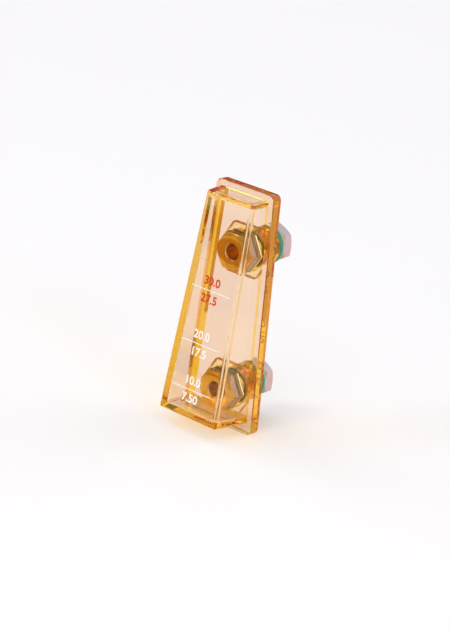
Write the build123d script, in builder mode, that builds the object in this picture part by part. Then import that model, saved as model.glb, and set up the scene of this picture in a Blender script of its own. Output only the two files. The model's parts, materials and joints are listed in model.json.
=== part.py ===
"""Tank level gauge: a hollow moulded sight housing held to a tank by two hollow hexagon bolts.

Frame: +Z runs up the gauge, the window faces -Y and the tank is on the +Y side. The origin is the
middle of the flange's back face, which is the mounting face. Sizes are in millimetres. A distance
called "forward" is counted from the mounting face towards -Y, and a "reach" towards +Y.
"""

from build123d import *
from math import atan2, cos, radians, sin, tan
import os

# ---- Driving dimensions ----------------------------------------------------------------------

# Flange: the housing's own flange and the back plate welded behind it share a tapering outline
flange_height = 127.0
flange_width_top = 37.6
flange_width_bottom = 47.8
flange_corner = 3.0
flange_edge = 0.4
housing_flange = 3.6
plate_thickness = 2.4
bond_line = 0.03                # bond between the plate and the housing's flange

# Housing, outside: a wedge with moulding draft, deep at the floor and shallow at the roof
side_lip = 3.15                 # flange that shows beside the housing
top_lip = 3.15                  # and above it
bottom_lip = 6.0                # and below it
depth_top = 11.1                # from the flange to the window, at the roof
depth_bottom = 23.9             # and at the floor
draft_angle = 3.6               # degrees, on the roof, the floor and both sides
outer_round = 1.3

# Housing, walls
side_wall = 3.1
roof_wall = 2.9
floor_wall = 2.7
window_wall = 3.4
inner_round = 1.0

# Fittings: two hollow bolts on the centre line
fitting_spacing = 74.6
head_gap = 0.25                 # between the lower bolt's head and the chamber's floor

# Hexagon bolt, 1/2 in, bored through
bolt_diameter = 12.7
head_across_flats = 19.05
head_height = 7.75
bolt_show = 0.6                 # bolt that shows beyond the nut
port_diameter = 8.0
bolt_edge = 0.8                 # chamfer at the bolt's end
port_edge = 0.5                 # chamfer at both mouths of the bore

# Hexagon pockets in the back plate's front; behind it a hexagon cup and then a round boss
pocket_floor = 0.9              # forward of the mounting face
pocket_clearance = 0.4          # on each flat of the head
cup_wall = 3.25                 # around the pocket
cup_reach = 3.7
cup_edge = 0.6
boss_diameter = 20.6
boss_reach = 16.3
boss_root = 0.8
boss_edge = 0.5
hole_clearance = 0.15           # radial, between the bolt and the boss

# Sealing ring and nut
ring_section = 3.53
ring_sides = 8                  # narrow flats that make up the ring's round section
ring_clearance = 0.55           # radial, between the ring and the bolt
seat_gap = 0.02                 # between faces that only touch
nut_across_flats = 19.05
nut_height = 6.35
nut_turn = 34.0                 # degrees that each nut is turned from flats at the sides
thread_gap = 0.05               # radial, between the nut's thread and the bolt's
nut_edge = 0.6                  # chamfer at both mouths of the nut
crown_angle = 30.0              # degrees, of the cone that takes the corners off
crown_share = 0.97              # of the width across flats, where that cone starts

# ---- Values worked out from them -------------------------------------------------------------

housing_back = plate_thickness + bond_line
flange_front = housing_back + housing_flange
roof_height = flange_height / 2 - top_lip
floor_height = -flange_height / 2 + bottom_lip
side_taper = (flange_width_bottom - flange_width_top) / 2 / flange_height
pocket_across_flats = head_across_flats + 2 * pocket_clearance
cup_across_flats = pocket_across_flats + 2 * cup_wall
bolt_radius = bolt_diameter / 2
port_radius = port_diameter / 2
underside = -pocket_floor - seat_gap
head_face = underside - head_height
ring_seat = boss_reach + seat_gap
ring_mean_radius = bolt_radius + ring_clearance + ring_section / 2
nut_seat = ring_seat + ring_section + seat_gap
bolt_end = nut_seat + nut_height + bolt_show
chamber_floor = floor_height + floor_wall - (flange_front + head_face) * tan(radians(draft_angle))
lower_height = chamber_floor + head_gap + head_across_flats / 2
fittings = {"upper": lower_height + fitting_spacing, "lower": lower_height}

os.makedirs("parts", exist_ok=True)


def station(forward):
    """The plane this far in front of the mounting face, parallel to it and facing forward."""
    return Plane.XZ.offset(forward)


def turning_plane(height):
    """The level plane through a fitting's axis, where a point is (radius, reach)."""
    return Plane.XY.offset(height)


def fitting_axis(height):
    """The axis of a fitting, pointing at the tank."""
    return Axis((0, 0, height), (0, 1, 0))


def half_width(height):
    """Half of the flange's width at a height."""
    return flange_width_bottom / 2 - side_taper * (height + flange_height / 2)


def tapering_outline(side, floor, roof):
    """The corners of the flange's tapering outline between two heights, its sides brought in."""
    return [
        (side - half_width(floor), floor),
        (half_width(floor) - side, floor),
        (half_width(roof) - side, roof),
        (side - half_width(roof), roof),
    ]


def window_plane(inset):
    """The window's sloping plane, facing forward and moved back into the housing by a wall."""
    roof_front = roof_height - depth_top * tan(radians(draft_angle))
    floor_front = floor_height + depth_bottom * tan(radians(draft_angle))
    lean = atan2(depth_bottom - depth_top, roof_front - floor_front)
    edge = (0, -flange_front - depth_top, roof_front)
    return Plane(origin=edge, x_dir=(1, 0, 0), z_dir=(0, -cos(lean), sin(lean))).offset(-inset)


def wedge(back, side, floor, roof, window, corner_round):
    """The housing's drafted wedge from a station to the window, brought in by each wall."""
    drawn_in = (back - flange_front) * tan(radians(draft_angle))
    corners = tapering_outline(
        side_lip + side + drawn_in,
        floor_height + floor + drawn_in,
        roof_height - roof - drawn_in,
    )
    with BuildPart() as body:
        with BuildSketch(station(back)):
            Polygon(*corners, align=None)
        extrude(amount=flange_front + depth_bottom + outer_round - back)
        sides = body.faces() - body.faces().filter_by(Axis.Y)
        draft(sides, neutral_plane=station(back), angle=draft_angle)
        split(bisect_by=window_plane(window), keep=Keep.BOTTOM)
        fillet(body.edges() - body.edges().group_by(Axis.Y)[-1], corner_round)
    return body.part


def slab(back, thickness, broken_edge):
    """A plate with the flange's outline and rounded corners, one of its two rims broken."""
    with BuildPart() as plate:
        with BuildSketch(station(back)) as outline:
            Polygon(*tapering_outline(0, -flange_height / 2, flange_height / 2), align=None)
            fillet(outline.vertices(), flange_corner)
        extrude(amount=thickness)
        chamfer(plate.edges().group_by(Axis.Y)[broken_edge], flange_edge)
    return plate.part


def corner_cut(height, across_flats, reach, direction):
    """The ring that takes a hexagon's corners off at one end; direction is +1 at the tank end."""
    inner = crown_share * across_flats / 2
    outer = across_flats
    drop = (outer - inner) * tan(radians(crown_angle))
    with BuildPart() as ring:
        with BuildSketch(turning_plane(height)):
            with BuildLine():
                Polyline(
                    (inner, reach),
                    (outer, reach),
                    (outer, reach - direction * drop),
                    close=True,
                )
            make_face()
        revolve(axis=fitting_axis(height))
    return ring.part


# ---- Front housing: flange and hollow wedge in one moulding ----------------------------------

front_flange = slab(housing_back, housing_flange, 0)
outer_wedge = wedge(flange_front, 0, 0, 0, 0, outer_round)
chamber = wedge(housing_back, side_wall, floor_wall, roof_wall, window_wall, inner_round)

with BuildPart() as front_housing:
    add(front_flange)
    add(outer_wedge)
    add(chamber, mode=Mode.SUBTRACT)

front_housing.part.label = "front_housing"
export_step(front_housing.part, "parts/front_housing.step")

# ---- Back plate: a pocket for each head in front, a cup and a boss for each ring behind --------

rear_slab = slab(0, plate_thickness, -1)

with BuildPart() as back_plate:
    add(rear_slab)
    for height in fittings.values():
        with BuildSketch(station(0)):
            with Locations((0, height)):
                RegularPolygon(cup_across_flats / 2, 6, major_radius=False)
        extrude(amount=-cup_reach)
    chamfer(back_plate.edges().group_by(Axis.Y)[-1], cup_edge)
    for height in fittings.values():
        with BuildSketch(turning_plane(height)):
            with BuildLine():
                Polyline(
                    (0, 0),
                    (boss_diameter / 2 + boss_root, 0),
                    (boss_diameter / 2 + boss_root, cup_reach),
                    (boss_diameter / 2, cup_reach + boss_root),
                    (boss_diameter / 2, boss_reach - boss_edge),
                    (boss_diameter / 2 - boss_edge, boss_reach),
                    (0, boss_reach),
                    close=True,
                )
            make_face()
        revolve(axis=fitting_axis(height))
    for height in fittings.values():
        with BuildSketch(station(plate_thickness)):
            with Locations((0, height)):
                RegularPolygon(pocket_across_flats / 2, 6, major_radius=False)
        extrude(amount=pocket_floor - plate_thickness, mode=Mode.SUBTRACT)
        with BuildSketch(station(pocket_floor)):
            with Locations((0, height)):
                Circle(bolt_radius + hole_clearance)
        extrude(amount=-pocket_floor - boss_reach, mode=Mode.SUBTRACT)

back_plate.part.label = "back_plate"
export_step(back_plate.part, "parts/back_plate.step")

# ---- Hexagon bolts, bored through as the sight ports ------------------------------------------

for name, height in fittings.items():
    crown = corner_cut(height, head_across_flats, head_face, -1)

    with BuildPart() as bolt:
        with BuildSketch(station(-underside)):
            with Locations((0, height)):
                RegularPolygon(head_across_flats / 2, 6, major_radius=False)
        extrude(amount=head_height)
        add(crown, mode=Mode.SUBTRACT)
        with BuildSketch(turning_plane(height)):
            with BuildLine():
                Polyline(
                    (0, underside),
                    (bolt_radius, underside),
                    (bolt_radius, bolt_end - bolt_edge),
                    (bolt_radius - bolt_edge, bolt_end),
                    (0, bolt_end),
                    close=True,
                )
            make_face()
        revolve(axis=fitting_axis(height))
        with BuildSketch(turning_plane(height)):
            with BuildLine():
                Polyline(
                    (0, head_face),
                    (port_radius + port_edge, head_face),
                    (port_radius, head_face + port_edge),
                    (port_radius, bolt_end - port_edge),
                    (port_radius + port_edge, bolt_end),
                    (0, bolt_end),
                    close=True,
                )
            make_face()
        revolve(axis=fitting_axis(height), mode=Mode.SUBTRACT)

    bolt.part.label = f"{name}_bolt"
    export_step(bolt.part, f"parts/{name}_bolt.step")

# ---- Sealing rings, squeezed between the bosses and the tank ----------------------------------

for name, height in fittings.items():
    with BuildPart() as o_ring:
        with BuildSketch(turning_plane(height)):
            with Locations((ring_mean_radius, ring_seat + ring_section / 2)):
                RegularPolygon(
                    ring_section / 2, ring_sides, major_radius=False, rotation=180 / ring_sides
                )
        revolve(axis=fitting_axis(height))

    o_ring.part.label = f"{name}_o_ring"
    export_step(o_ring.part, f"parts/{name}_o_ring.step")

# ---- Jam nuts ---------------------------------------------------------------------------------

for name, height in fittings.items():
    near_crown = corner_cut(height, nut_across_flats, nut_seat, -1)
    far_crown = corner_cut(height, nut_across_flats, nut_seat + nut_height, 1)

    with BuildPart() as nut:
        with BuildSketch(station(-nut_seat)):
            with Locations((0, height)):
                RegularPolygon(nut_across_flats / 2, 6, major_radius=False, rotation=nut_turn)
                Circle(bolt_radius + thread_gap, mode=Mode.SUBTRACT)
        extrude(amount=-nut_height)
        chamfer(nut.edges().filter_by(GeomType.CIRCLE), nut_edge)
        add(near_crown, mode=Mode.SUBTRACT)
        add(far_crown, mode=Mode.SUBTRACT)

    nut.part.label = f"{name}_nut"
    export_step(nut.part, f"parts/{name}_nut.step")
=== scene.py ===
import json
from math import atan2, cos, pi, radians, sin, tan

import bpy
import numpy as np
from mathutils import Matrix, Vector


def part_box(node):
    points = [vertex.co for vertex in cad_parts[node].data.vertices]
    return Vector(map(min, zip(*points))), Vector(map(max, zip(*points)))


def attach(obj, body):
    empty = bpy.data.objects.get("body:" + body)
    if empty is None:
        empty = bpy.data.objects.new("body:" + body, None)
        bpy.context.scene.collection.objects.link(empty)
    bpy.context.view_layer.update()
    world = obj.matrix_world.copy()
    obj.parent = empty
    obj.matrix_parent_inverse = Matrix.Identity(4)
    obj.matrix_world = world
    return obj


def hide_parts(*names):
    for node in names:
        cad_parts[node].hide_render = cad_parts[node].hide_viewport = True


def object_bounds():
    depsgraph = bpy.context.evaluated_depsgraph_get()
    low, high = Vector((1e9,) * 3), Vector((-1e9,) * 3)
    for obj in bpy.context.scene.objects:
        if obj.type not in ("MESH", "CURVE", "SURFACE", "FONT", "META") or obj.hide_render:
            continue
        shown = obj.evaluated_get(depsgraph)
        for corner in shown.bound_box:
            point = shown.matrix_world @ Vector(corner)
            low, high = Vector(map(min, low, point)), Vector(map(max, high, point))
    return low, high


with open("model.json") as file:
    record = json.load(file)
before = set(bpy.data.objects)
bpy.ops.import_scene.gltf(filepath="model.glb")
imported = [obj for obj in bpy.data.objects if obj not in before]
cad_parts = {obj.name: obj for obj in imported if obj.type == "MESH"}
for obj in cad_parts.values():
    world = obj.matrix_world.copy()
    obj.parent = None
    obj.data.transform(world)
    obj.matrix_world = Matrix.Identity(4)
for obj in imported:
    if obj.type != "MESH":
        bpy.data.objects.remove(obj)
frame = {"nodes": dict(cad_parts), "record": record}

# %% [markdown]
# # A tank level gauge in clear amber plastic
#
# The gauge is a hollow moulded wedge that fills with the tank's liquid. Two hollow bolts hold it
# to the tank's wall, let the liquid in below and the air out above, and the level shows through
# the sloping window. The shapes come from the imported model, in metres, with +Z up the gauge and
# the window facing -Y. This file gives them their finish, cuts threads on the bolts, rounds the
# sealing rings, prints the level marks and sets up a small studio.

millimetre = 0.001
cad_low, cad_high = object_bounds()
print("box of the packed model, mm:", [round(1000 * (b - a), 1) for a, b in zip(cad_low, cad_high)])

# %% [markdown]
# ## What is read from the model
#
# A piece that is added later must sit exactly where its solid sits, so its place is read and not
# typed in. The box of a bolt gives its axis, the face of its head and the end of its shank, the box
# of a ring gives its section, and the record gives the bore and the height of the ports.

# %% Boxes of the nodes and the record's ports
boxes = {node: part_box(node) for node in frame["nodes"]}
mounts = {mount["name"]: mount for mount in frame["record"]["mounts"]}
levels = ("upper", "lower")

for level in levels:
    low, high = boxes[f"{level}_bolt"]
    axis_mm, length_mm = 500 * (low[2] + high[2]), 1000 * (high[1] - low[1])
    print(f"{level} bolt: axis at z {axis_mm:.2f} mm, {length_mm:.2f} mm long")

# %% [markdown]
# ## Surfaces from numpy
#
# Every new piece but the printed numbers is a grid of points: one parameter runs round the piece
# and the other along it. The grid is worked out as whole arrays and handed to the mesh in one go,
# which is quick, and the formula stays readable. A grid can close on itself in both directions, so
# that a ring has no seam and a hollow bolt is one skin that runs out along the shank and back
# through the bore.


# %% One mesh from a grid of points
def grid_mesh(name, points, close_rows=True):
    """A mesh whose vertex (i, j) is points[i, j]. Columns j always close on themselves; rows i do
    so when close_rows is true. Face (i, j) joins (i, j), (i+1, j), (i+1, j+1) and (i, j+1), so its
    normal points along the step in i x the step in j."""
    rows, columns = points.shape[:2]
    face_rows = np.arange(rows if close_rows else rows - 1)
    i, j = np.meshgrid(face_rows, np.arange(columns), indexing="ij")
    i_next = (i + 1) % rows
    j_next = (j + 1) % columns
    corners = (i, j), (i_next, j), (i_next, j_next), (i, j_next)
    faces = np.stack([row * columns + column for row, column in corners], axis=-1)
    mesh = bpy.data.meshes.new(name)
    mesh.from_pydata(points.reshape(-1, 3), [], faces.reshape(-1, 4))
    mesh.validate()
    return mesh


def place_piece(name, mesh, material, sharp_angle=35):
    """Show a mesh as a piece of the object, smooth except where it turns by more than an angle."""
    mesh.polygons.foreach_set("use_smooth", np.ones(len(mesh.polygons), dtype=bool))
    mesh.set_sharp_from_angle(angle=radians(sharp_angle))
    mesh.materials.clear()
    mesh.materials.append(material)
    piece = bpy.data.objects.new(name, mesh)
    bpy.context.scene.collection.objects.link(piece)
    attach(piece, "root")
    return piece


# %% [markdown]
# ## Small tools for node trees
#
# A finish is a tree of nodes. Most functions here place one node for one step of a formula and
# give back its output, so the formula can be written as nested calls, from the inside out.


# %% Nodes placed by what they work out
def feed(links, place, value):
    """Give a socket a plain value or another node's output."""
    if isinstance(value, bpy.types.NodeSocket):
        links.new(value, place)
    else:
        place.default_value = value


def calculate(nodes, links, operation, *values):
    """The outcome of one math operation on numbers or outputs."""
    node = nodes.new("ShaderNodeMath")
    node.operation = operation
    for place, value in zip(node.inputs, values):
        feed(links, place, value)
    return node.outputs["Value"]


def ramp(nodes, links, value, start, end, low=0.0, high=1.0):
    """low + (high - low) x the share of the way from start to end, which stops at both."""
    node = nodes.new("ShaderNodeMapRange")
    given = {"Value": value, "From Min": start, "From Max": end, "To Min": low, "To Max": high}
    for name, part in given.items():
        feed(links, node.inputs[name], part)
    return node.outputs["Result"]


def blend(nodes, links, mask, first, second, kind="MIX"):
    """A colour that runs from first to second as a mask runs from 0 to 1. A kind other than MIX
    works on first with second, such as MULTIPLY, in the mask's share."""
    mix = nodes.new("ShaderNodeMix")
    mix.data_type = "RGBA"
    mix.blend_type = kind
    for name, colour in (("A", first), ("B", second)):
        feed(links, mix.inputs[name], (*colour, 1.0) if isinstance(colour, tuple) else colour)
    links.new(mask, mix.inputs["Factor"])
    return mix.outputs["Result"]


def place_and_facing(nodes, links):
    """x, y and z of the surface's point and of its normal, both in the object's own frame."""
    where = nodes.new("ShaderNodeTexCoord")
    point, normal = nodes.new("ShaderNodeSeparateXYZ"), nodes.new("ShaderNodeSeparateXYZ")
    links.new(where.outputs["Object"], point.inputs["Vector"])
    links.new(where.outputs["Normal"], normal.inputs["Vector"])
    return tuple(tuple(split.outputs[axis] for axis in "XYZ") for split in (point, normal))


def socket(group, name, direction, kind, value=None):
    """Add one named socket to a node group."""
    made = group.interface.new_socket(name=name, in_out=direction, socket_type=kind)
    if value is not None:
        made.default_value = value


# %% [markdown]
# ## Effects that several finishes share
#
# Two things happen to almost every surface here. Handling leaves faint cloudy differences in how
# smooth it is, and making it leaves slow waves or a fine grain in it. Each is a node group with
# named inputs, built once, and every material places it with its own values.


# %% Groups: cloudy handling and fine relief
def handling_group():
    """Value = Low + (High - Low) x cloud, where cloud is soft noise at the given scale."""
    group = bpy.data.node_groups.new("handling", "ShaderNodeTree")
    socket(group, "Scale", "INPUT", "NodeSocketFloat", 60.0)
    socket(group, "Low", "INPUT", "NodeSocketFloat", 0.1)
    socket(group, "High", "INPUT", "NodeSocketFloat", 0.3)
    socket(group, "Value", "OUTPUT", "NodeSocketFloat")
    nodes, links = group.nodes, group.links
    given = nodes.new("NodeGroupInput")
    result = nodes.new("NodeGroupOutput")
    where = nodes.new("ShaderNodeTexCoord")
    cloud = nodes.new("ShaderNodeTexNoise")
    cloud.inputs["Detail"].default_value = 5.0
    cloud.inputs["Roughness"].default_value = 0.6
    links.new(where.outputs["Object"], cloud.inputs["Vector"])
    links.new(given.outputs["Scale"], cloud.inputs["Scale"])
    low, high = given.outputs["Low"], given.outputs["High"]
    spread = ramp(nodes, links, cloud.outputs["Fac"], 0.35, 0.65, low, high)
    links.new(spread, result.inputs["Value"])
    return group


def relief_group():
    """Normal = the surface's own, tilted by noise that is stretched by Stretch along one axis."""
    group = bpy.data.node_groups.new("relief", "ShaderNodeTree")
    socket(group, "Scale", "INPUT", "NodeSocketFloat", 100.0)
    socket(group, "Stretch", "INPUT", "NodeSocketVector", (1.0, 1.0, 1.0))
    socket(group, "Strength", "INPUT", "NodeSocketFloat", 0.1)
    socket(group, "Depth", "INPUT", "NodeSocketFloat", 0.0001)
    socket(group, "Normal", "OUTPUT", "NodeSocketVector")
    nodes, links = group.nodes, group.links
    given = nodes.new("NodeGroupInput")
    result = nodes.new("NodeGroupOutput")
    where = nodes.new("ShaderNodeTexCoord")
    stretched = nodes.new("ShaderNodeVectorMath")
    stretched.operation = "MULTIPLY"
    waves = nodes.new("ShaderNodeTexNoise")
    waves.inputs["Detail"].default_value = 3.0
    bump = nodes.new("ShaderNodeBump")
    links.new(where.outputs["Object"], stretched.inputs[0])
    links.new(given.outputs["Stretch"], stretched.inputs[1])
    links.new(stretched.outputs["Vector"], waves.inputs["Vector"])
    links.new(given.outputs["Scale"], waves.inputs["Scale"])
    links.new(waves.outputs["Fac"], bump.inputs["Height"])
    links.new(given.outputs["Strength"], bump.inputs["Strength"])
    links.new(given.outputs["Depth"], bump.inputs["Distance"])
    links.new(bump.outputs["Normal"], result.inputs["Normal"])
    return group


handling = handling_group()
relief = relief_group()
print("shared effects:", handling.name, relief.name)


# %% Placing the groups in a material
def new_material(name):
    """A material with its Principled shader, as (material, nodes, links, shader)."""
    material = bpy.data.materials.new(name)
    material.use_nodes = True
    tree = material.node_tree
    return material, tree.nodes, tree.links, tree.nodes["Principled BSDF"]


def place_group(nodes, group, **values):
    """Put a shared effect in a material, each input named by its own word."""
    placed = nodes.new("ShaderNodeGroup")
    placed.node_tree = group
    for name, value in values.items():
        placed.inputs[name].default_value = value
    return placed


def cloudy_tone(nodes, links, scale, first, second):
    """A colour that drifts between two tones with the handling's cloud."""
    cloud = place_group(nodes, handling, Scale=scale, Low=0.0, High=1.0)
    return blend(nodes, links, cloud.outputs["Value"], first, second)


def finish_surface(nodes, links, shader, colour, smoothness, wave):
    """Feed a shader its colour, its clouded roughness from (scale, low, high) and its relief from
    (scale, stretch, strength, depth), where depth is in metres."""
    scale, low, high = smoothness
    rough = place_group(nodes, handling, Scale=scale, Low=low, High=high)
    scale, stretch, strength, depth = wave
    waves = place_group(nodes, relief, Scale=scale, Stretch=stretch, Strength=strength, Depth=depth)
    links.new(colour, shader.inputs["Base Color"])
    links.new(rough.outputs["Value"], shader.inputs["Roughness"])
    links.new(waves.outputs["Normal"], shader.inputs["Normal"])


# %% [markdown]
# ## Clear amber plastic
#
# The moulding is clear right through, and its colour comes from the plastic itself: a thin wall
# looks pale peach, and the light that has run along a wall to an edge comes out deep amber. A
# tinted surface can't do that, so the surface is left almost colourless and the inside absorbs
# light, green by about 2% and blue by about 10% for each millimetre. Rays from the lamps pass
# straight through the skin, so that the bolts inside are lit, and still lose colour on the way.
#
# Three parts of the skin are given a deeper amber. On the narrow edges, which are all that faces
# sideways behind the flange's front, such as the rim of the flange, the pockets' walls and the
# bosses, and on the root of the chamber's walls, it is painted shade. There it stands in for the
# deep colour that light takes on as it runs a long way through the plastic. The third part is the
# bond line, where the ends of the housing's walls meet the back plate, and there the deeper amber
# marks the joint. The housing's box gives the place of the bond line. The body's outline there is
# typed in: half its width at the middle, how it narrows with height, and its foot and roof.

# %% Where the skin's colour is deeper: painted shade on the edges and roots, and the bond line
housing_back = boxes["front_housing"][1][1]
flange_front = housing_back - 3.6 * millimetre
wall_root = housing_back - 6.17 * millimetre
bond_half_reach = 0.25 * millimetre
body_half_width = 18.2 * millimetre
body_taper = -0.0402
body_foot, body_roof = -57.5 * millimetre, 60.35 * millimetre
sideways_limit, backwards_limit = 0.4, 0.9
bond_mm, front_mm = 1000 * housing_back, 1000 * flange_front
print(f"bond line at y {bond_mm:.2f} mm, flange's front at {front_mm:.2f} mm")


# %% Group: mask of the painted shade and the bond line
def painted_shade_and_joint_group():
    """Mask = largest of three products of masks, each 0 or 1, from the point (x, y, z) and the
    normal (nx, ny, nz). Edges, which get painted shade: faces sideways, where |ny| < its limit, and
    lies behind the flange's front. Roots, which also get painted shade: faces sideways and to the
    middle, where x nx + z nz < 0, and lies behind the roots' limit. Bond, the joint: faces back,
    where ny > its limit, and lies on the bond line within the body's outline, where |x| < half
    width + taper x z."""
    group = bpy.data.node_groups.new("painted_shade_and_joint", "ShaderNodeTree")
    socket(group, "Mask", "OUTPUT", "NodeSocketFloat")
    nodes, links = group.nodes, group.links
    result = nodes.new("NodeGroupOutput")
    (x, y, z), (facing_x, facing_y, facing_z) = place_and_facing(nodes, links)

    def work(operation, *values):
        """One math operation in this group."""
        return calculate(nodes, links, operation, *values)

    def every(*masks):
        """Product of masks."""
        product = masks[0]
        for mask in masks[1:]:
            product = work("MULTIPLY", product, mask)
        return product

    def between(value, low, high):
        """1 where low < value < high."""
        return every(work("GREATER_THAN", value, low), work("LESS_THAN", value, high))

    # The edges and the walls' roots are painted shade: a deeper amber that stands in for light that
    # has run a long way inside.
    sideways = work("LESS_THAN", work("ABSOLUTE", facing_y), sideways_limit)
    painted_edge_shade = every(sideways, work("GREATER_THAN", y, flange_front))
    outward = work("MULTIPLY_ADD", z, facing_z, work("MULTIPLY", x, facing_x))
    inner = work("LESS_THAN", outward, 0.0)
    painted_root_shade = every(sideways, inner, work("GREATER_THAN", y, wall_root))
    backwards = work("GREATER_THAN", facing_y, backwards_limit)
    on_line = between(y, housing_back - bond_half_reach, housing_back + bond_half_reach)
    half_width = work("MULTIPLY_ADD", z, body_taper, body_half_width)
    within_sides = work("LESS_THAN", work("ABSOLUTE", x), half_width)
    bond = every(backwards, on_line, within_sides, between(z, body_foot, body_roof))
    links.new(work("MAXIMUM", work("MAXIMUM", painted_edge_shade, painted_root_shade), bond), result.inputs["Mask"])
    return group


painted_shade_and_joint = painted_shade_and_joint_group()
print("mask of the deeper skin:", painted_shade_and_joint.name)


# %% Material: clear amber plastic
def clear_amber():
    """Refracting skin, absorbing inside, and a plain see-through skin for rays from lamps. Light
    that has gone a length L inside keeps the share e^(-density x (1 - colour) x L)."""
    material, nodes, links, shader = new_material("clear_amber")
    shader.inputs["Transmission Weight"].default_value = 1.0
    shader.inputs["IOR"].default_value = 1.58
    shader.inputs["Specular Tint"].default_value = (1.0, 0.70, 0.20, 1.0)
    pale = cloudy_tone(nodes, links, 35.0, (1.0, 0.91, 1.0), (0.995, 0.895, 0.985))
    painted_shade_and_joint_mask = place_group(nodes, painted_shade_and_joint)
    # Painted shade: the deeper amber goes on the edges and the walls' roots, and the same amber
    # marks the joint at the bond line.
    skin = blend(nodes, links, painted_shade_and_joint_mask.outputs["Mask"], pale, (0.99, 0.71, 0.12))
    flow = (45.0, (1.0, 1.0, 0.3), 0.25, 0.1 * millimetre)
    finish_surface(nodes, links, shader, skin, (90.0, 0.015, 0.05), flow)

    inside = nodes.new("ShaderNodeVolumeAbsorption")
    inside.inputs["Color"].default_value = (0.965, 0.82, 0.02, 1.0)
    inside.inputs["Density"].default_value = 102.0
    lamp_skin = nodes.new("ShaderNodeBsdfTransparent")
    lamp_skin.inputs["Color"].default_value = (1.0, 0.955, 0.99, 1.0)
    path = nodes.new("ShaderNodeLightPath")
    either = nodes.new("ShaderNodeMixShader")
    output = nodes["Material Output"]
    links.new(path.outputs["Is Shadow Ray"], either.inputs["Fac"])
    links.new(shader.outputs["BSDF"], either.inputs[1])
    links.new(lamp_skin.outputs["BSDF"], either.inputs[2])
    links.new(either.outputs["Shader"], output.inputs["Surface"])
    links.new(inside.outputs["Volume"], output.inputs["Volume"])
    return material


amber = clear_amber()
print("clear plastic:", amber.name)

# %% [markdown]
# ## Plated steel
#
# The bolts and nuts are turned and plated. Plating is a thin bright skin, so the metal is a little
# cloudy, with the fine marks of the tool still in it. It is silvery with a faint pink cast. Where a
# face looks up it takes a second tone, which is a painted reflection. The end face of a bolt looks
# into the amber housing and is painted golden, a painted reflection of the amber. The bolts sit
# inside the housing and are painted darker than the nuts, as painted shade.


# %% Material: plated steel, with a painted reflection on its top and its end face
def plated_steel(name, flank, painted_upward_reflection, painted_end_reflection, low, high, axis_height=0.0, bore_edge=0.0):
    """Bright metal in the flank's tone, and in a second tone where it looks up, which is a painted
    reflection. It goes over to the end face's tone, a painted reflection of what that face looks
    at, as the surface turns to look along -Y, and within the bore, where the squared distance from
    the axis, x^2 + (z - axis height)^2, is less than that of the bore's edge.
    Handling dulls it in clouds, its roughness drifts from low to high and fine tool marks are
    relief."""
    material, nodes, links, shader = new_material(name)
    shader.inputs["Metallic"].default_value = 1.0
    (x, _, z), (_, facing_y, facing_z) = place_and_facing(nodes, links)
    # Painted reflection: the end face's tone on faces that look along -Y and within the bore.
    forward = ramp(nodes, links, facing_y, -0.6, -0.95)
    above_axis = calculate(nodes, links, "SUBTRACT", z, axis_height)
    squared = calculate(nodes, links, "MULTIPLY", x, x)
    squared = calculate(nodes, links, "MULTIPLY_ADD", above_axis, above_axis, squared)
    in_bore = calculate(nodes, links, "LESS_THAN", squared, bore_edge**2)
    painted_golden_mask = calculate(nodes, links, "MAXIMUM", forward, in_bore)
    # Painted reflection: a second tone where the face looks up.
    flank_and_painted_top = blend(nodes, links, ramp(nodes, links, facing_z, 0.1, 0.4), flank, painted_upward_reflection)
    tones_with_painted_reflection = blend(nodes, links, painted_golden_mask, flank_and_painted_top, painted_end_reflection)
    cloud = place_group(nodes, handling, Scale=160.0, Low=0.0, High=0.3)
    worn = blend(nodes, links, cloud.outputs["Value"], tones_with_painted_reflection, (0.70, 0.66, 0.64), "MULTIPLY")
    tool_marks = (700.0, (1.0, 6.0, 1.0), 0.1, 0.006 * millimetre)
    finish_surface(nodes, links, shader, worn, (260.0, low, high), tool_marks)
    return material


# The nuts: a silvery flank, a painted reflection where they look up, and a painted reflection on
# the face that looks along -Y.
silvery = plated_steel(
    "silvery_steel", (0.70, 0.50, 0.48), (0.62, 0.55, 0.57), (0.64, 0.52, 0.50), 0.30, 0.42
)
# The bolts' tones are darker than the nuts' as painted shade for the amber housing around them.
# Their end faces are painted golden, a painted reflection.
painted_bolt_tones = (0.36, 0.29, 0.30), (0.30, 0.25, 0.22), (0.74, 0.42, 0.05)
bolt_metal = {}
for level in levels:
    low, high = boxes[f"{level}_bolt"]
    axis_height = (low[2] + high[2]) / 2
    bore_edge = mounts[f"{level}_port"]["dims"]["r_mm"] * millimetre + 0.1 * millimetre
    bolt_metal[level] = plated_steel(
        f"{level}_bolt_steel", *painted_bolt_tones, 0.08, 0.16, axis_height=axis_height, bore_edge=bore_edge
    )
print("metals:", silvery.name, *[metal.name for metal in bolt_metal.values()])

# %% [markdown]
# ## Green rubber
#
# The sealing rings are an emerald rubber with a satin skin from the mould. The flank that turns to
# the tank is painted paler, a painted highlight where the light catches the ring.


# %% Material: green rubber
def green_rubber():
    """Satin green, clouded in tone and in roughness, painted paler where it looks along +Y as a
    painted highlight, with a fine skin relief."""
    material, nodes, links, shader = new_material("green_rubber")
    shader.inputs["Specular IOR Level"].default_value = 0.6
    _, (_, facing_y, _) = place_and_facing(nodes, links)
    deep = cloudy_tone(nodes, links, 250.0, (0.025, 0.27, 0.15), (0.015, 0.20, 0.11))
    # Painted highlight: a pale mint where the ring looks along +Y.
    skin = blend(nodes, links, ramp(nodes, links, facing_y, 0.05, 0.5), deep, (0.30, 0.72, 0.52))
    grain = (2500.0, (1.0, 1.0, 1.0), 0.15, 0.03 * millimetre)
    finish_surface(nodes, links, shader, skin, (500.0, 0.32, 0.48), grain)
    return material


rubber = green_rubber()
print("rubber:", rubber.name)

# %% [markdown]
# ## Printing ink
#
# The level marks are screen printed: an even coat of opaque ink, thin at pinholes of the screen.


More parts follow.
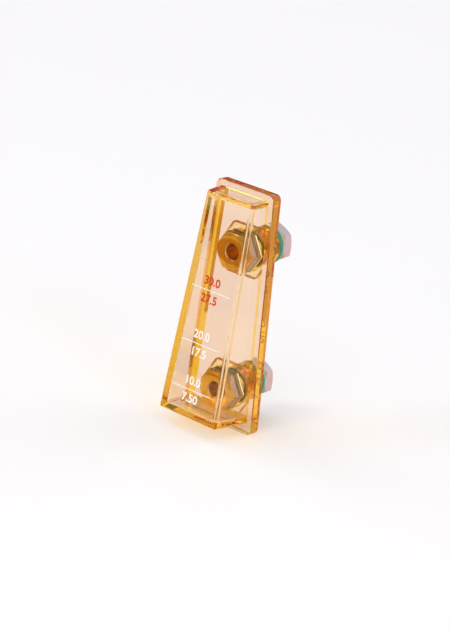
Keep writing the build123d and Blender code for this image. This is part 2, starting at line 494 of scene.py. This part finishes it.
# %% Material: ink in a given colour
def ink(name, full, thin):
    """Flat opaque colour that is a little weaker where the coat is thin."""
    material, nodes, links, shader = new_material(name)
    links.new(cloudy_tone(nodes, links, 900.0, full, thin), shader.inputs["Base Color"])
    smoothness = place_group(nodes, handling, Scale=1200.0, Low=0.35, High=0.55)
    links.new(smoothness.outputs["Value"], shader.inputs["Roughness"])
    shader.inputs["Specular IOR Level"].default_value = 0.15
    return material


red_ink = ink("red_ink", (0.62, 0.03, 0.004), (0.56, 0.045, 0.01))
white_ink = ink("white_ink", (0.90, 0.90, 0.88), (0.82, 0.81, 0.78))
print("inks:", red_ink.name, white_ink.name)

# %% [markdown]
# ## Housing, back plate and nuts
#
# These solids already have the real shapes, so they stay and only get their finish.


# %% Finishes on the solids that stay
def finish_node(node, material):
    """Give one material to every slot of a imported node."""
    for place in frame["nodes"][node].material_slots:
        place.material = material


for node in ("front_housing", "back_plate"):
    finish_node(node, amber)
for level in levels:
    finish_node(f"{level}_nut", silvery)
print("finished nodes:", "front_housing, back_plate, upper_nut, lower_nut")

# %% [markdown]
# ## Hollow bolts with threads
#
# The solid bolts have plain shanks. The real ones are threaded, and the thread shows through the
# boss and beyond the nut. A bolt is one grid: round it runs the angle, and along it a profile that
# starts in the bore at the head, turns over the head's face, down its six flats, along the shank
# and back through the bore. On the shank the radius rises and falls with a phase that grows with
# the angle, and that is all a screw thread is.

# %% Sizes of a 1/2-13 bolt
major_radius = 6.35 * millimetre
pitch = 25.4 / 13 * millimetre
thread_depth = 0.61 * pitch
head_height = 7.75 * millimetre
crown_share = 0.97
crown_slope = tan(radians(30))
steps_round = 96
steps_per_turn = 14


# %% The bolt's skin as a grid
def hexagon_radius(angle, across_flats):
    """Distance from the centre to a hexagon's side: half the width over the cosine of the angle to
    the nearest flat. Corners lie at 0, 60, 120 degrees and so on."""
    from_flat = np.mod(angle, pi / 3) - pi / 6
    return across_flats / 2 / np.cos(from_flat)


def thread_height(phase):
    """0 at the root and 1 at the crest: a triangle wave cut flat for an eighth of the pitch at the
    crest and a quarter at the root."""
    crest, root = 1 / 8, 1 / 4
    wave = np.abs(2 * (phase - np.floor(phase)) - 1)
    return np.clip((wave - root) / (1 - root - crest), 0, 1)


def bolt_points(level):
    """Points of one bolt: ring i at reach y[i], radius r[i] and the angle round it."""
    low, high = boxes[f"{level}_bolt"]
    across_flats = high[2] - low[2]
    bore = mounts[f"{level}_port"]["dims"]["r_mm"] * millimetre
    face, end = low[1], high[1]
    under_head = face + head_height
    axis_height = (low[2] + high[2]) / 2
    angle = np.linspace(0, 2 * pi, steps_round, endpoint=False)
    side = hexagon_radius(angle, across_flats)
    flat_round = crown_share * across_flats / 2
    drop = np.maximum(side - flat_round, 0) * crown_slope
    rim = 0.5 * millimetre
    lead_in = 0.8 * millimetre

    rings = [
        (bore, face + rim),
        (bore + rim, face),
        (np.full_like(side, flat_round), face),
        (side, face + drop),
        (side, under_head),
        (major_radius - thread_depth, under_head),
    ]
    turns = (end - under_head) / pitch
    for reach in np.linspace(under_head + 0.1 * millimetre, end, int(turns * steps_per_turn)):
        grow = min((reach - under_head) / (1.5 * pitch), 1.0)
        height = thread_height(reach / pitch - angle / (2 * pi)) * grow
        radius = major_radius - thread_depth * (1 - height)
        limit = major_radius - max(reach - (end - lead_in), 0.0)
        rings.append((np.minimum(radius, limit), reach))
    rings += [(bore + rim, end), (bore, end - rim)]

    radius = np.array([np.broadcast_to(r, angle.shape) for r, _ in rings])
    reach = np.array([np.broadcast_to(y, angle.shape) for _, y in rings])
    return np.stack([radius * np.cos(angle), reach, axis_height + radius * np.sin(angle)], axis=-1)


for level in levels:
    points = bolt_points(level)
    bolt_mesh = grid_mesh(f"{level}_bolt_skin", points)
    bolt = place_piece(f"{level}_threaded_bolt", bolt_mesh, bolt_metal[level])
    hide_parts(f"{level}_bolt")
    print(f"{level} bolt: {points.shape[0]} rings of {points.shape[1]} points")

# %% [markdown]
# ## Sealing rings
#
# A sealing ring is a torus. Nipped between the boss and the tank it flattens a little on both
# faces, so its section is a circle that is cut slightly flat there.


# %% Rings as tori with nipped faces
def ring_points(level, round_steps=96, section_steps=40):
    """Round the axis runs one angle and round the section the other. The section's reach is its
    sine x the nip, cut off at 1, which leaves a narrow flat on each face. The two angles run so
    that the faces of this grid look inwards."""
    low, high = boxes[f"{level}_o_ring"]
    section = (high[1] - low[1]) / 2
    middle = (high[2] - low[2]) / 2 - section
    centre_reach = (low[1] + high[1]) / 2
    axis_height = (low[2] + high[2]) / 2
    about, round_section = np.meshgrid(
        np.linspace(0, 2 * pi, round_steps, endpoint=False),
        np.linspace(0, 2 * pi, section_steps, endpoint=False),
        indexing="ij",
    )
    nip = 1.04
    radius = middle + section * np.cos(round_section)
    reach = centre_reach + section * np.clip(nip * np.sin(round_section), -1, 1)
    return np.stack([radius * np.cos(about), reach, axis_height + radius * np.sin(about)], axis=-1)


for level in levels:
    ring_mesh = grid_mesh(f"{level}_ring_skin", ring_points(level))
    ring_name, ring_slot = f"{level}_sealing_ring", f"{level}_o_ring"
    ring = place_piece(ring_name, ring_mesh, rubber, sharp_angle=60)
    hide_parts(f"{level}_o_ring")
    print(f"{level} ring: {len(ring_mesh.polygons)} faces")

# %% [markdown]
# ## Level marks
#
# The marks are printed on the window. Each is a long rule at the level, with a plain number above
# it and another below, so that one rule can be read on two scales. The window slopes, so a mark is
# drawn flat and then laid on the window's own plane.


# %% The window's plane, from the largest face of the housing that looks forward
def window_frame():
    """Centre of the window and its lean from upright. Among the faces that look along -Y the
    window's triangles are the largest, and the normal of the largest gives the slope."""
    faces = frame["nodes"]["front_housing"].data.polygons
    count = len(faces)
    normals, centres, areas = np.empty(count * 3), np.empty(count * 3), np.empty(count)
    faces.foreach_get("normal", normals)
    faces.foreach_get("center", centres)
    faces.foreach_get("area", areas)
    normals, centres = normals.reshape(-1, 3), centres.reshape(-1, 3)
    forward = (normals[:, 1] < -0.9) & (centres[:, 1] < boxes["front_housing"][0][1] / 2)
    window = np.where(forward, areas, 0.0).argmax()
    return centres[window], atan2(normals[window][2], -normals[window][1])


window_centre, lean = window_frame()
print(f"window: through y {1000 * window_centre[1]:.2f} mm, leaning {lean * 180 / pi:.2f} degrees")

# %% [markdown]
# A rule is a long flat bar with a fine round edge. A superellipsoid gives that in one formula: a
# sphere whose sines and cosines are raised to a small power, which squares it up, then stretched to
# the bar's length, height and thickness. Its two poles are its ends. The grid stops just short of
# them, so each end stays open, by about half the bar's width and thickness.

# %% Laying flat shapes on the window
across = np.array([1.0, 0.0, 0.0])
up_slope = np.array([0.0, sin(lean), cos(lean)])
outward = np.array([0.0, -cos(lean), sin(lean)])
window_middle = np.array([0.0, window_centre[1], window_centre[2]])
ink_thickness = 0.03 * millimetre
ink_lift = 0.02 * millimetre
cap_share = 0.73
stroke_swell = 0.035


def on_window(flat, height):
    """A flat shape's (x, y, z) becomes across x, up the slope y and outward z, from the point of
    the window that lies at the given height."""
    start = window_middle + up_slope * (height - window_middle[2]) / cos(lean)
    flat = flat + [0.0, 0.0, ink_lift]
    return start + flat[:, :1] * across + flat[:, 1:2] * up_slope + flat[:, 2:3] * outward


def rule_points(half_length, half_width, half_depth, squareness=0.15, along=60, round_bar=24):
    """x = a cos^s(u), y = b sin^s(u) cos^s(v), z = c sin^s(u) sin^s(v), each power keeping its
    sign. u runs from one pole to the other and stops short of each."""
    pole = 0.02
    u, v = np.meshgrid(
        np.linspace(pole, pi - pole, along),
        np.linspace(0, 2 * pi, round_bar, endpoint=False),
        indexing="ij",
    )

    def power(wave):
        """|wave|^s with the wave's own sign."""
        return np.sign(wave) * np.abs(wave) ** squareness

    return np.stack(
        [
            half_length * power(np.cos(u)),
            half_width * power(np.sin(u)) * power(np.cos(v)),
            half_depth * power(np.sin(u)) * power(np.sin(v)),
        ],
        axis=-1,
    )


def number_mesh(text, cap_height, middle):
    """The flat mesh of a number, centred at (x, y), at the height of the ink's top. The font's
    capitals are cap_share of its size."""
    curve = bpy.data.curves.new(f"number_{text}", "FONT")
    curve.body = text
    curve.size = cap_height / cap_share
    curve.align_x = "CENTER"
    curve.align_y = "CENTER"
    curve.offset = stroke_swell * cap_height
    shape = bpy.data.objects.new("number_shape", curve)
    mesh = bpy.data.meshes.new_from_object(shape)
    bpy.data.objects.remove(shape)
    points = np.empty(len(mesh.vertices) * 3)
    mesh.vertices.foreach_get("co", points)
    return mesh, points.reshape(-1, 3) + [*middle, ink_thickness]


# %% Three marks, each a rule with a number above and below
lower_port_height = mounts["lower_port"]["pos_m"][2]
rule_half_length, rule_half_width = 12.4 * millimetre, 0.22 * millimetre
cap_height, number_shift = 4.4 * millimetre, 4.6 * millimetre
mark_centre = -0.5 * millimetre
marks = [
    ("full", 56.1 * millimetre, "30.0", "27.5", red_ink),
    ("middle", 28.0 * millimetre, "20.0", "17.5", white_ink),
    ("low", 3.8 * millimetre, "10.0", "7.50", white_ink),
]

for name, above_port, top_number, bottom_number, colour in marks:
    height = lower_port_height + above_port
    bar = rule_points(rule_half_length, rule_half_width, ink_thickness / 2)
    flat = bar.reshape(-1, 3) + [mark_centre, 0, ink_thickness / 2]
    laid = on_window(flat, height).reshape(bar.shape)
    rule = grid_mesh(f"{name}_rule_skin", laid, close_rows=False)
    place_piece(f"{name}_rule", rule, white_ink)
    for place, text, side in (("upper", top_number, 1), ("lower", bottom_number, -1)):
        number, flat = number_mesh(text, cap_height, (mark_centre, side * number_shift))
        number.vertices.foreach_set("co", on_window(flat, height).ravel())
        place_piece(f"{name}_{place}_number", number, colour)
    print(f"{name} mark: rule at z {1000 * height:.1f} mm")

# %% [markdown]
# ## Floor
#
# The gauge stands on a pale sheet. It is almost white, so it both carries the soft shadows and
# throws light back up through the plastic.


# %% Floor and its finish
def matt_finish(name, drift, first, second, roughness, shine):
    """Matt, with a slow drift between two tones at the given scale."""
    material, nodes, links, shader = new_material(name)
    links.new(cloudy_tone(nodes, links, drift, first, second), shader.inputs["Base Color"])
    shader.inputs["Roughness"].default_value = roughness
    shader.inputs["Specular IOR Level"].default_value = shine
    return material


def flat_sheet(name, corners, material):
    """A flat sheet from its four corners, anticlockwise as seen from above."""
    mesh = bpy.data.meshes.new(name)
    mesh.from_pydata(corners, [], [(0, 1, 2, 3)])
    mesh.materials.append(material)
    sheet = bpy.data.objects.new(name, mesh)
    bpy.context.scene.collection.objects.link(sheet)
    return sheet


floor_level = cad_low.z
floor_half = 6.0
floor_corners = [
    (x * floor_half, y * floor_half, floor_level) for x, y in ((-1, -1), (1, -1), (1, 1), (-1, 1))
]
paper = matt_finish("pale_floor", 0.8, (0.945, 0.937, 0.94), (0.935, 0.927, 0.93), 1.0, 0.0)
floor = flat_sheet("floor", floor_corners, paper)
print("floor at z", round(1000 * floor_level, 2), "mm")

# %% [markdown]
# A golden card lies on the sheet in front, to the left and out of the picture. The window would
# mirror the pale sheet there, and a milky veil would lie over the bolts.

# %% Golden card
card_heading = Vector((-0.58, -0.80, 0.0)).normalized()
card_side = Vector((-card_heading.y, card_heading.x, 0.0))
card_start, card_end, card_half_width = 0.17, 1.0, 0.32
card_height = floor_level + millimetre
card_corners = [
    along * card_heading + side * card_half_width * card_side + Vector((0.0, 0.0, card_height))
    for along, side in ((card_start, -1), (card_end, -1), (card_end, 1), (card_start, 1))
]
gold = matt_finish("golden_card", 6.0, (0.56, 0.34, 0.12), (0.50, 0.29, 0.10), 0.9, 0.5)
card = flat_sheet("card", card_corners, gold)
print("card from", card_start, "to", card_end, "m in front, to the left")

# %% [markdown]
# ## Light
#
# Two soft lamps stand in front, one at each side, so the faint shadows fall away behind the gauge
# in a V, and a third lights the sheet behind it. A pale sky fills in the rest. Clear plastic shows
# whatever stands behind it, so most of its look comes from this surround.


# %% Lamps and sky
def soft_lamp(name, place, aim, size, power):
    """A square area lamp at a place, its face turned to the aim."""
    lamp = bpy.data.lights.new(name, "AREA")
    lamp.shape = "SQUARE"
    lamp.size = size
    lamp.energy = power
    holder = bpy.data.objects.new(name, lamp)
    turn = (Vector(aim) - Vector(place)).to_track_quat("-Z", "Y")
    holder.matrix_world = Matrix.Translation(place) @ turn.to_matrix().to_4x4()
    bpy.context.scene.collection.objects.link(holder)


aim = (0.0, 0.0, 0.0)
soft_lamp("lamp_left", (-0.75, -0.95, 0.9), aim, 0.42, 3.6)
soft_lamp("lamp_right", (1.35, -0.35, 0.8), aim, 0.42, 4.0)
soft_lamp("lamp_back", (-0.8, 1.1, 1.4), (-0.6, 0.8, floor_level), 0.6, 2.4)


def cloudy_sky(strength_low, strength_high, dim_direction, dim_share):
    """A nearly white sky whose strength drifts between two values with its direction, the way a
    room does with its lit and unlit walls. Round one direction it falls by a share of itself, more
    and more as the cosine of the angle from that direction goes from 0.75 to 0.95."""
    sky = bpy.data.worlds.new("sky")
    sky.use_nodes = True
    nodes, links = sky.node_tree.nodes, sky.node_tree.links
    light = nodes["Background"]
    light.inputs["Color"].default_value = (0.985, 0.975, 0.995, 1.0)
    where = nodes.new("ShaderNodeTexCoord")
    walls = nodes.new("ShaderNodeTexNoise")
    walls.inputs["Scale"].default_value = 1.7
    walls.inputs["Detail"].default_value = 0.0
    cosine = nodes.new("ShaderNodeVectorMath")
    cosine.operation = "DOT_PRODUCT"
    cosine.inputs[1].default_value = Vector(dim_direction).normalized()
    links.new(where.outputs["Generated"], walls.inputs["Vector"])
    links.new(where.outputs["Generated"], cosine.inputs[0])
    drift = ramp(nodes, links, walls.outputs["Fac"], 0.42, 0.58, strength_low, strength_high)
    share = ramp(nodes, links, cosine.outputs["Value"], 0.75, 0.95, 1.0, 1.0 - dim_share)
    links.new(calculate(nodes, links, "MULTIPLY", drift, share), light.inputs["Strength"])
    return sky


behind = (-0.58, 0.74, 0.33)
bpy.context.scene.world = cloudy_sky(0.54, 1.62, behind, 0.85)
print("lamps:", *[lamp.name for lamp in bpy.data.lights])

# %% [markdown]
# ## Camera
#
# The camera stands about a metre away, to the right of the gauge's front and above it, and is
# turned a little about its own line of sight. Its three directions follow from those angles.

# %% Camera from its angles
azimuth = radians(37.97)
elevation = radians(19.23)
roll = radians(7.34)
distance = 1.0177
aim_point = Vector((0.0, -8.0 * millimetre, 0.0))

back = Vector((sin(azimuth) * cos(elevation), -cos(azimuth) * cos(elevation), sin(elevation)))
level_right = Vector((cos(azimuth), sin(azimuth), 0.0))
level_up = back.cross(level_right)
camera_right = level_right * cos(roll) + level_up * sin(roll)
camera_up = level_up * cos(roll) - level_right * sin(roll)

lens = bpy.data.cameras.new("camera")
lens.lens = 114.75
lens.sensor_width = 36.0
lens.clip_start = 0.01
lens.shift_x = -0.0037
lens.shift_y = -0.0123
camera = bpy.data.objects.new("camera", lens)
turn = Matrix((camera_right, camera_up, back)).transposed().to_4x4()
camera.matrix_world = Matrix.Translation(aim_point + distance * back) @ turn
bpy.context.scene.collection.objects.link(camera)
bpy.context.scene.camera = camera
bpy.context.scene.view_settings.view_transform = "Standard"
print(f"camera {1000 * distance:.0f} mm away, lens {lens.lens} mm")

# %% [markdown]
# Light that enters a clear edge is thrown from wall to wall many times before it leaves, and each
# crossing deepens its colour. If it were given up after a few turns, the edges would be black.

# %% How many turns light may take
longest_path = 64
light_paths = bpy.context.scene.cycles
light_paths.max_bounces = longest_path
light_paths.transmission_bounces = longest_path
light_paths.glossy_bounces = longest_path
light_paths.transparent_max_bounces = longest_path
